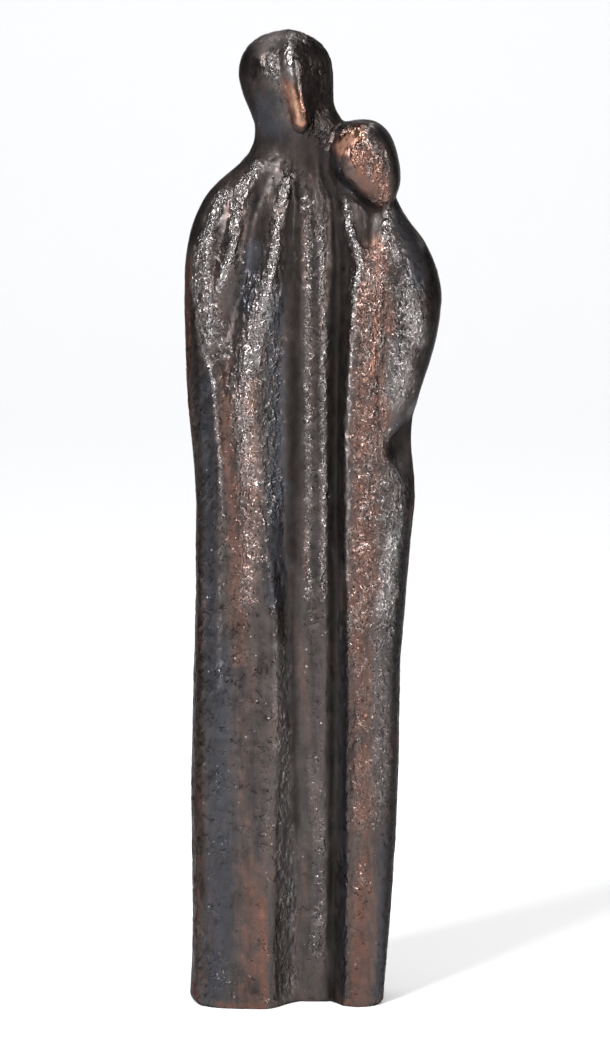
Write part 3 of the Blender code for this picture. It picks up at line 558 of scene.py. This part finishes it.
def swirl_noise(points, size, seed):
    """Smooth noise of about -1 to 1 in space, whose features lie about this size apart."""
    rng = np.random.default_rng(seed)
    ways = rng.normal(size=(NOISE_PERIOD, NOISE_PERIOD, NOISE_PERIOD, 3))
    ways /= np.linalg.norm(ways, axis=-1, keepdims=True)
    places = points @ NOISE_TURN.T / size + rng.uniform(0, NOISE_PERIOD, 3)
    cells = np.floor(places).astype(int)
    parts = places - cells
    blend = parts**3 * (parts * (parts * 6 - 15) + 10)
    total = np.zeros(len(points))
    for corner in itertools.product((0, 1), repeat=3):
        at = (cells + corner) % NOISE_PERIOD
        way = ways[at[:, 0], at[:, 1], at[:, 2]]
        weight = np.prod(np.where(corner, blend, 1 - blend), axis=1)
        total += weight * np.einsum("ij,ij->i", way, parts - corner)
    return total * NOISE_GAIN


def spot_distance(points, size, seed):
    """The distance from each point to the nearest of many scattered spots, as a share of their spacing."""
    rng = np.random.default_rng(seed)
    spots = rng.uniform(0, 1, (SPOT_PERIOD, SPOT_PERIOD, SPOT_PERIOD, 3))
    places = points / size
    cells = np.floor(places).astype(int)
    nearest = np.full(len(points), np.inf)
    for step in itertools.product((-1, 0, 1), repeat=3):
        near = cells + step
        at = near % SPOT_PERIOD
        spot = near + spots[at[:, 0], at[:, 1], at[:, 2]]
        nearest = np.minimum(nearest, np.linalg.norm(places - spot, axis=1))
    return nearest


class Skin:
    """The points of a mesh as arrays, with what its neighbours say of each point."""

    def __init__(self, mesh):
        count = len(mesh.vertices)
        self.mesh = mesh
        self.points = np.empty(count * 3)
        mesh.vertices.foreach_get("co", self.points)
        self.points = self.points.reshape(-1, 3)
        ends = np.empty(len(mesh.edges) * 2, dtype=np.int32)
        mesh.edges.foreach_get("vertices", ends)
        self.ends = ends.reshape(-1, 2)
        self.degree = np.bincount(self.ends.ravel(), minlength=count)

    def around(self, values):
        """The mean of each point's neighbours."""
        a, b = self.ends.T
        if values.ndim == 1:
            total = np.bincount(a, values[b], len(values)) + np.bincount(b, values[a], len(values))
            return total / self.degree
        return np.stack([self.around(values[:, k]) for k in range(values.shape[1])], axis=1)

    def softened(self, values, rounds):
        """The values after so many rounds of moving halfway to their neighbours' mean."""
        for _ in range(rounds):
            values = values + (self.around(values) - values) / 2
        return values

    def normals(self):
        self.write()
        directions = np.empty(len(self.points) * 3)
        self.mesh.vertices.foreach_get("normal", directions)
        return directions.reshape(-1, 3)

    def write(self):
        self.mesh.vertices.foreach_set("co", self.points.ravel())
        self.mesh.update()


def front_view(points, wander=0.0):
    """Each point as the front shows it, in millimetres, made to wander a little so that edges fray."""
    view = points[:, [0, 2]] / MM
    if wander:
        view = view + wander * np.stack([
            0.5 * swirl_noise(points, 5 * MM, 21) + swirl_noise(points, 1.6 * MM, 23),
            0.6 * swirl_noise(points, 6 * MM, 22) + swirl_noise(points, 1.6 * MM, 24),
        ], axis=1)
    return view


def stroke_mask(view, normals, strokes):
    """How strongly the strokes cover each point, from 0 to 1."""
    covered = np.zeros(len(view))
    for stroke in strokes:
        distance = follow_path(view, stroke.path)
        near = 1 - ease(PAINT_CORE * stroke.width, PAINT_EDGE * stroke.width, distance)
        facing = ease(-0.6, 0.0, -stroke.side * normals[:, 1])
        covered = np.maximum(covered, near * facing * stroke.strength)
    return covered


def modelled_rise(view, normals):
    """The modeller's own ridges and cuts, in millimetres."""
    rise = np.zeros(len(view))
    for stroke in MODELLED:
        near = 1 - ease(0.0, MODELLED_EDGE * stroke.width, follow_path(view, stroke.path))
        rise += stroke.strength * near * ease(0.0, 0.35, -stroke.side * normals[:, 1])
    return rise


def apply_modifiers(casting):
    seen = casting.evaluated_get(bpy.context.evaluated_depsgraph_get())
    casting.data = bpy.data.meshes.new_from_object(seen)
    casting.modifiers.clear()


def recast(source, settings):
    """A copy of the solid as one even skin, its flat faces melted together."""
    casting = bpy.data.objects.new("casting", source.data.copy())
    bpy.context.scene.collection.objects.link(casting)
    remesh = casting.modifiers.new("even_skin", "REMESH")
    remesh.mode = "VOXEL"
    remesh.voxel_size = settings.voxel
    remesh.use_smooth_shade = True
    apply_modifiers(casting)
    return casting


def soften_facets(skin, settings):
    """Melts the flat faces into one soft skin, most in the valleys, and keeps the foot crisp."""
    normals = skin.normals()
    above = (skin.points[:, 2] - LOW.z) / MM
    floor = above < FOOT_SKIN
    crisp = 1 - 0.85 * (1 - ease(*FOOT_CRISP, above))
    saddle = np.linalg.norm((skin.points / MM - SADDLE) / SADDLE_REACH, axis=1)
    elbow = np.linalg.norm((skin.points / MM - ELBOW) / ELBOW_REACH, axis=1)
    melt = np.maximum(0.9 * (1 - ease(0.6, 1.1, saddle)), 1 - ease(0.75, 1.1, elbow))
    melt = np.maximum(melt, stroke_mask(front_view(skin.points), normals, MELTED))
    soft = skin.softened(skin.points, settings.softening)
    skin.points = skin.points + (soft - skin.points) * crisp[:, None]
    joined = skin.softened(skin.points, JOINING_ROUNDS)
    skin.points += (joined - skin.points) * (melt * crisp)[:, None]
    skin.points[floor, 2] = LOW.z


def bulge(skin, normals, rounds):
    """How far each point stands out from the form round it: more than 0 on crests and less in hollows."""
    return np.einsum("ij,ij->i", skin.points - skin.softened(skin.points, rounds), normals)


def cast_skin(skin, settings):
    """Raises the modelling, lumps, marks, pits and chips; returns the masks for patina, painted shade and
    glints.
    """
    normals = skin.normals()
    skin.points = skin.points + normals * (modelled_rise(front_view(skin.points), normals) * MM)[:, None]
    normals = skin.normals()
    points = skin.points
    view = front_view(points, FRAY)
    stand = bulge(skin, normals, FORM_ROUNDS) / MM
    crest, hollow = ease(-0.03, 0.20, stand), ease(0.04, 0.30, -stand)
    dressed = stroke_mask(view, normals, DRESSED)
    patchy = swirl_noise(points, 6 * MM, 11)
    hidden = ease(0.1, 0.6, normals[:, 1])
    burnished_and_highlight = stroke_mask(view, normals, BURNISHED_AND_HIGHLIGHT)
    worked = np.maximum(stroke_mask(view, normals, WORKED), 0.8 * burnished_and_highlight)
    rough = np.clip(0.27 + 0.08 * crest + 0.20 * patchy + 0.74 * worked, 0.06, 1.1)
    rough *= (1 - 0.9 * dressed) * (1 - 0.3 * hidden)
    at_foot = 1 - ease(0.2, 1.6, (points[:, 2] - LOW.z) / MM)

    lumps = swirl_noise(points, settings.lump_size, 1)
    lumps += 0.5 * swirl_noise(points, settings.lump_size * 0.45, 2)
    sway = np.stack([swirl_noise(points, 1.5 * MM, seed) for seed in (31, 32, 33)], axis=1) * 0.5 * MM
    swayed = points * MARK_SQUEEZE + sway
    marks = 0.7 - 2.6 * np.abs(swirl_noise(swayed, settings.mark_size, 3))
    marks += 0.6 * swirl_noise(swayed, settings.mark_size * 0.62, 4)
    pits = 1 - ease(0.12, 0.36, spot_distance(points, settings.pit_size, 5))
    pits *= ease(-0.15, 0.25, swirl_noise(points, 5 * MM, 6))
    chips = ease(0.30, 0.75, swirl_noise(points * CHIP_SQUEEZE, 4.5 * MM, 7)) * at_foot

    height = settings.lump_depth * lumps * (0.5 + 0.5 * np.abs(normals[:, 1]))
    height += settings.mark_depth * marks * rough
    height -= settings.pit_depth * pits * np.clip(rough + 0.2, 0, 1)
    height -= settings.chip_depth * chips
    flat = (points[:, 2] < LOW.z + 0.05 * MM) & (normals[:, 2] < -0.7)
    height[flat] = 0
    skin.points = points + normals * height[:, None]
    skin.points[flat, 2] = LOW.z
    skin.points[:, 2] = np.maximum(skin.points[:, 2], LOW.z)

    normals = skin.normals()
    return {
        "crest": ease(0.0, 0.12, bulge(skin, normals, CREST_ROUNDS) / MM),
        "form": crest,
        "hollow": hollow,
        "rubbed": stroke_mask(view, normals, RUBBED),
        # Slate patina, partly a painted cool sheen.
        "slate_and_sheen": stroke_mask(view, normals, SLATE_AND_SHEEN),
        # Painted shade, with some real near-black patina.
        "black_and_shade": stroke_mask(view, normals, BLACK_AND_SHADE),
        # Burnished wear, partly painted highlights and reflections.
        "burnished_and_highlight": burnished_and_highlight,
        "matte": stroke_mask(view, normals, MATTE),
        "rough": np.clip(rough, 0, 1),
    }


def store(mesh, masks):
    for name, values in masks.items():
        layer = mesh.attributes.new(name, "FLOAT", "POINT")
        layer.data.foreach_set("value", np.asarray(values, dtype=np.float32))


def thin_out(casting, settings):
    """Drops triangles where the skin is nearly flat, down to the number that the casting may keep."""
    triangles = sum(len(face.vertices) - 2 for face in casting.data.polygons)
    if triangles > settings.faces:
        thinner = casting.modifiers.new("thinner", "DECIMATE")
        thinner.ratio = settings.faces / triangles
        apply_modifiers(casting)
    casting.data.shade_smooth()


def opaque(colour):
    return (*colour, 1.0)


class Nodes:
    """A short hand for wiring one material."""

    def __init__(self, name):
        self.material = bpy.data.materials.new(name)
        self.material.use_nodes = True
        self.tree = self.material.node_tree
        self.shader = self.tree.nodes["Principled BSDF"]

    def add(self, kind, **values):
        node = self.tree.nodes.new(kind)
        for name, value in values.items():
            setattr(node, name, value)
        return node

    def feed(self, socket, value):
        if isinstance(value, bpy.types.NodeSocket):
            self.tree.links.new(value, socket)
        elif socket.type == "RGBA":
            socket.default_value = opaque(value)
        else:
            socket.default_value = value

    def mask(self, name):
        return self.add("ShaderNodeAttribute", attribute_name=name).outputs["Fac"]

    def squeezed(self, where, scale):
        node = self.add("ShaderNodeMapping")
        self.feed(node.inputs["Vector"], where)
        node.inputs["Scale"].default_value = scale
        return node.outputs["Vector"]

    def sums(self, operation, a, b=0.0):
        node = self.add("ShaderNodeMath", operation=operation)
        self.feed(node.inputs[0], a)
        self.feed(node.inputs[1], b)
        return node.outputs[0]

    def times(self, a, b):
        return self.sums("MULTIPLY", a, b)

    def plus(self, a, b):
        return self.sums("ADD", a, b)

    def most(self, a, b):
        return self.sums("MAXIMUM", a, b)

    def remap(self, value, low, high, to_low=0.0, to_high=1.0):
        node = self.add("ShaderNodeMapRange", interpolation_type="SMOOTHSTEP")
        for socket, number in zip(("Value", "From Min", "From Max", "To Min", "To Max"),
                                  (value, low, high, to_low, to_high)):
            self.feed(node.inputs[socket], number)
        return node.outputs[0]

    def blend(self, share, a, b):
        node = self.add("ShaderNodeMix", data_type="RGBA")
        self.feed(node.inputs["Factor"], share)
        colours = [socket for socket in node.inputs if socket.type == "RGBA"]
        self.feed(colours[0], a)
        self.feed(colours[1], b)
        return next(socket for socket in node.outputs if socket.type == "RGBA")

    def texture(self, kind, where, size, **values):
        """A texture whose features lie about this size apart, in metres."""
        node = self.add(kind, **values)
        self.feed(node.inputs["Vector"], where)
        node.inputs["Scale"].default_value = 1 / size
        return node

    def cloud(self, where, size, detail=2.0, roughness=0.5, distortion=0.0):
        node = self.texture("ShaderNodeTexNoise", where, size)
        for name, value in (("Detail", detail), ("Roughness", roughness), ("Distortion", distortion)):
            node.inputs[name].default_value = value
        return node.outputs["Fac"]

    def curls(self, where, size, width):
        """Thin curly lines about this far apart: 1 on a line and 0 between them."""
        field = self.cloud(where, size, 1.5, 0.5, 0.8)
        off = self.sums("ABSOLUTE", self.sums("SUBTRACT", field, 0.5))
        return self.remap(off, width, 0.0)

    def warped(self, where, size, amount):
        """The same place, pushed about by noise, so that what is drawn there is irregular."""
        noise = self.texture("ShaderNodeTexNoise", where, size)
        push = self.add("ShaderNodeVectorMath", operation="MULTIPLY_ADD")
        self.feed(push.inputs[0], noise.outputs["Color"])
        push.inputs[1].default_value = (amount, amount, amount)
        self.feed(push.inputs[2], where)
        return push.outputs["Vector"]

    def spots(self, where, size):
        node = self.texture("ShaderNodeTexVoronoi", where, size, feature="SMOOTH_F1")
        node.inputs["Smoothness"].default_value = 0.35
        return node.outputs["Distance"]


def patinated_bronze(settings):
    """Dark patina over bronze: slate in the hollows, brown on the planes, red and bare where it is rubbed;
    painted shade, sheen and glints.
    """
    nodes = Nodes("patinated_bronze")
    times, plus, most = nodes.times, nodes.plus, nodes.most
    remap, blend, cloud = nodes.remap, nodes.blend, nodes.cloud
    feed, shader = nodes.feed, nodes.shader.inputs
    where = nodes.add("ShaderNodeTexCoord").outputs["Object"]
    drawn = nodes.squeezed(where, PAINT_SQUEEZE)
    streaks = cloud(nodes.squeezed(where, STREAK_SQUEEZE), STREAK_SIZE * MM, 3.0, 0.6)
    blotch = cloud(drawn, BLOTCH_SIZE * MM, 3.0)
    mottle = cloud(drawn, MOTTLE_SIZE * MM, 4.0, 0.6, 0.4)
    marks = cloud(drawn, MARK_SIZE * MM, 1.5, 0.5, 1.4)
    grain = cloud(where, GRAIN_SIZE * MM, 2.0, 0.6, 0.5)
    pits = nodes.spots(where, PIT_SIZE * MM)
    curl_breaks = remap(cloud(where, CURL_BREAK * MM, 1.0), 0.42, 0.56)
    fine_breaks = remap(cloud(where, FINE_CURL_BREAK * MM, 1.0), 0.46, 0.60)
    curls = times(nodes.curls(drawn, CURL_SIZE * MM, CURL_WIDTH), curl_breaks)
    fine_curls = times(nodes.curls(drawn, FINE_CURL_SIZE * MM, CURL_WIDTH), fine_breaks)
    scratches = most(curls, times(fine_curls, 0.6))

    crest, form, hollow, rough = map(nodes.mask, ("crest", "form", "hollow", "rough"))
    # The near-black mask carries painted shade, the slate one a painted cool sheen, the burnished one painted
    # highlights.
    rubbed, slate_and_sheen, black_and_shade = map(nodes.mask, ("rubbed", "slate_and_sheen", "black_and_shade"))
    burnished_and_highlight, matte = map(nodes.mask, ("burnished_and_highlight", "matte"))

    # The patina, from black to brown, and slate in the smooth hollows, partly real and partly a painted cool
    # sheen.
    shade = remap(plus(times(blotch, 0.8), mottle), 0.6, 1.15, 0.55, 1.0)
    colour = blend(shade, settings.dark_patina_and_shade, settings.brown)
    colour = blend(remap(form, 0.2, 0.9), colour, settings.brown)
    colour = blend(remap(streaks, 0.52, 0.36, 0.0, 0.34), colour, settings.dark_patina_and_shade)
    colour = blend(remap(streaks, 0.52, 0.66, 0.0, 0.22), colour, settings.red)
    cool_patina_and_sheen = times(slate_and_sheen, remap(mottle, 0.2, 0.6))
    colour = blend(cool_patina_and_sheen, colour, settings.slate_and_sheen)

    # Rubbed thin to red, then through to bright metal on the highest points.
    broken = plus(times(blotch, 0.5), mottle)
    worn = plus(rubbed, times(nodes.sums("SUBTRACT", broken, 0.75), 1.1))
    thin = remap(worn, 0.08, 1.0)
    colour = blend(times(thin, 0.9), colour, settings.red)
    bare = times(remap(worn, 0.70, 1.30), remap(crest, 0.05, 0.8, 0.3, 1.0))
    colour = blend(bare, colour, settings.copper)

    # Painted shade and near-black patina, then painted glints on the tips and pale wear with painted
    # highlights.
    shade_and_black_veil = times(black_and_shade, remap(mottle, 0.25, 0.7, 1.0, 0.75))
    colour = blend(shade_and_black_veil, colour, settings.dark_patina_and_shade)
    # Painted glints: the crests and scratches are painted pale.
    tip_glints = times(remap(crest, 0.30, 0.95), remap(marks, 0.42, 0.62))
    tip_glints = most(times(tip_glints, 0.75), times(scratches, 0.8))
    glints_and_burnish = times(times(tip_glints, remap(rough, 0.30, 0.95)), 0.36)
    glints_and_burnish = times(glints_and_burnish, remap(black_and_shade, 0.3, 0.9, 1.0, 0.3))
    # Burnished wear painted pale, partly standing in for highlights and reflections.
    worn_pale_and_highlight = times(burnished_and_highlight, remap(mottle, 0.30, 0.62, 0.6, 1.0))
    bright = plus(times(tip_glints, 0.72), 0.20)
    glints_and_burnish = most(glints_and_burnish, times(worn_pale_and_highlight, bright))
    glint_colour = blend(thin, settings.pale_wear_and_glint, settings.rosy_glint)
    colour = blend(glints_and_burnish, colour, glint_colour)

    # Stray specks of bare metal, painted pale as small glints.
    glint_specks = nodes.spots(nodes.warped(where, PUSH_SIZE * MM, PUSH * MM), SPECK_SIZE * MM)
    glint_specks = times(remap(glint_specks, 0.13, 0.05), remap(mottle, 0.49, 0.60))
    # Where the painted shade, the near-black patina and the dull patina lie.
    dull_and_shaded = most(black_and_shade, matte)
    glint_specks = times(glint_specks, remap(dull_and_shaded, 0.1, 0.8, 1.0, 0.05))
    colour = blend(times(glint_specks, 0.65), colour, settings.pale_wear_and_glint)

    # Painted shade darkens the deepest hollows, and the pits hold dirt.
    painted_hollow_shade = times(times(hollow, dull_and_shaded), 0.75)
    colour = blend(painted_hollow_shade, colour, settings.hollow_shade_colour)
    deep = times(remap(pits, 0.30, 0.10), remap(rough, 0.2, 0.8))
    colour = blend(times(deep, 0.7), colour, settings.dark_patina_and_shade)
    feed(shader["Base Color"], colour)

    tipped = most(crest, scratches)
    polish = remap(plus(tipped, times(grain, 0.5)), 0.1, 1.25, 0.38, 0.18)
    satin = times(remap(rough, 0.35, 0.05), remap(black_and_shade, 0.3, 0.9, 0.08, 0.0))
    satin = plus(satin, times(matte, 0.24))
    feed(shader["Roughness"], plus(polish, satin))
    feed(shader["Metallic"], remap(plus(thin, crest), 0.0, 1.0, 0.88, 1.0))
    shader["Coat Weight"].default_value = 0.06
    shader["Coat Roughness"].default_value = 0.18
    shader["Specular Tint"].default_value = (0.30, 0.28, 0.28, 1.0)

    relief = plus(times(marks, 0.55), times(grain, 0.12))
    relief = plus(relief, times(scratches, remap(rough, 0.2, 0.55, 0.10, 0.40)))
    relief = nodes.sums("SUBTRACT", relief, times(deep, 0.35))
    relief = plus(relief, times(glint_specks, 0.5))
    bump = nodes.add("ShaderNodeBump")
    bump.inputs["Distance"].default_value = BUMP_HEIGHT * MM
    feed(bump.inputs["Strength"], remap(rough, 0.05, 0.9, 0.12, 1.0))
    feed(bump.inputs["Height"], relief)
    feed(shader["Normal"], bump.outputs["Normal"])
    return nodes.material


class OBJECT_OT_cast_couple(bpy.types.Operator):
    """Casts the couple in place of the plain solid, with its skin and patina"""

    bl_idname = "object.cast_couple"
    bl_label = "Cast the couple"

    def execute(self, context):
        settings = context.scene.couple_casting
        casting = recast(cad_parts[NODE], settings)
        skin = Skin(casting.data)
        soften_facets(skin, settings)
        masks = cast_skin(skin, settings)
        skin.write()
        store(casting.data, masks)
        thin_out(casting, settings)
        casting.data.materials.clear()
        casting.data.materials.append(patinated_bronze(context.scene.couple_patina))
        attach(casting, BODY)
        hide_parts(NODE)
        return {"FINISHED"}


# Each light's name, place, aim, size, watts and colour.
MIDDLE = (0, 0, HEIGHT * 0.6)
LIGHTS = (
    ("window_left", (-0.36, -0.56, 0.56), MIDDLE, (0.22, 0.30), 11.0, (0.98, 0.99, 1.0)),
    ("strip_right", (0.55, -0.42, 0.36), MIDDLE, (0.08, 0.40), 4.0, (1.0, 0.98, 0.96)),
    ("overhead", (0.1, 0.1, 1.3), MIDDLE, (0.6, 0.6), 4.5, (1.0, 1.0, 1.0)),
    ("backdrop_light", (0, 1.0, 1.9), (0, 2.3, 0.5), (2.0, 0.4), 27.0, (1.0, 1.0, 1.0)),
)
WALL_COLOUR = (0.95, 0.97, 1.0)  # a pale, cool white


def soft_light(name, place, aim, size, watts, colour):
    lamp = bpy.data.lights.new(name, "AREA")
    lamp.shape = "RECTANGLE"
    lamp.size, lamp.size_y = size
    lamp.energy = watts
    lamp.color = colour
    light = bpy.data.objects.new(name, lamp)
    light.location = place
    light.rotation_euler = (Vector(aim) - Vector(place)).to_track_quat("-Z", "Y").to_euler()
    bpy.context.scene.collection.objects.link(light)


class SCENE_OT_pale_studio(bpy.types.Operator):
    """Sets the floor, the lights and the camera"""

    bl_idname = "scene.pale_studio"
    bl_label = "Set the studio"

    def execute(self, context):
        settings = context.scene.couple_studio
        scene = context.scene
        side = settings.floor_size / 2
        bend = settings.sweep_bend
        profile = [(-side, 0.0)]
        for step in range(SWEEP_STEPS + 1):
            turn = math.radians(90) * step / SWEEP_STEPS
            profile.append((settings.sweep_back - bend + bend * math.sin(turn), bend - bend * math.cos(turn)))
        profile.append((settings.sweep_back, settings.sweep_height))
        corners = [(right, back, up) for back, up in profile for right in (-side, side)]
        faces = [(2 * k, 2 * k + 1, 2 * k + 3, 2 * k + 2) for k in range(len(profile) - 1)]
        mesh = bpy.data.meshes.new("floor")
        mesh.from_pydata(corners, [], faces)
        mesh.shade_smooth()
        floor = bpy.data.objects.new("floor", mesh)
        scene.collection.objects.link(floor)
        surface = Nodes("pale_floor")
        surface.shader.inputs["Base Color"].default_value = opaque(settings.floor_colour)
        surface.shader.inputs["Roughness"].default_value = 0.9
        surface.shader.inputs["Specular IOR Level"].default_value = 0.1
        mesh.materials.append(surface.material)

        walls = bpy.data.worlds.new("studio")
        walls.use_nodes = True
        background = walls.node_tree.nodes["Background"]
        background.inputs["Color"].default_value = opaque(WALL_COLOUR)
        background.inputs["Strength"].default_value = settings.surround
        scene.world = walls

        for light in LIGHTS:
            soft_light(*light)
        scene.view_settings.view_transform = "Standard"

        aim = Vector((settings.aim_right, 0, settings.aim_up))
        tilt = settings.camera_tilt
        place = aim + settings.camera_distance * Vector((0, -math.cos(tilt), math.sin(tilt)))
        lens = bpy.data.cameras.new("camera")
        lens.sensor_width = SENSOR
        lens.lens = settings.focal_pixels * SENSOR / LONG_SIDE
        lens.clip_start = 0.01
        camera = bpy.data.objects.new("camera", lens)
        camera.location = place
        camera.rotation_euler = (aim - place).to_track_quat("-Z", "Y").to_euler()
        scene.collection.objects.link(camera)
        scene.camera = camera
        return {"FINISHED"}


class VIEW3D_PT_bronze_couple(bpy.types.Panel):
    """The couple's sizes and colours, and the operators that make it"""

    bl_label = "Bronze couple"
    bl_idname = "VIEW3D_PT_bronze_couple"
    bl_space_type = "VIEW_3D"
    bl_region_type = "UI"
    bl_category = "Bronze"

    def draw(self, context):
        for name, operator in (
            ("couple_casting", OBJECT_OT_cast_couple),
            ("couple_patina", None),
            ("couple_studio", SCENE_OT_pale_studio),
        ):
            settings = getattr(context.scene, name)
            box = self.layout.box()
            for key in settings.__annotations__:
                box.prop(settings, key)
            if operator:
                box.operator(operator.bl_idname)


SETTINGS = {
    "couple_casting": CastingSettings,
    "couple_patina": PatinaSettings,
    "couple_studio": StudioSettings,
}
CLASSES = (*SETTINGS.values(), OBJECT_OT_cast_couple, SCENE_OT_pale_studio, VIEW3D_PT_bronze_couple)


def register():
    for kind in CLASSES:
        bpy.utils.register_class(kind)
    for name, kind in SETTINGS.items():
        setattr(bpy.types.Scene, name, bpy.props.PointerProperty(type=kind))


def unregister():
    for name in SETTINGS:
        delattr(bpy.types.Scene, name)
    for kind in reversed(CLASSES):
        bpy.utils.unregister_class(kind)


def main():
    register()
    bpy.ops.object.cast_couple()
    bpy.ops.scene.pale_studio()


if __name__ == "__main__":
    main()
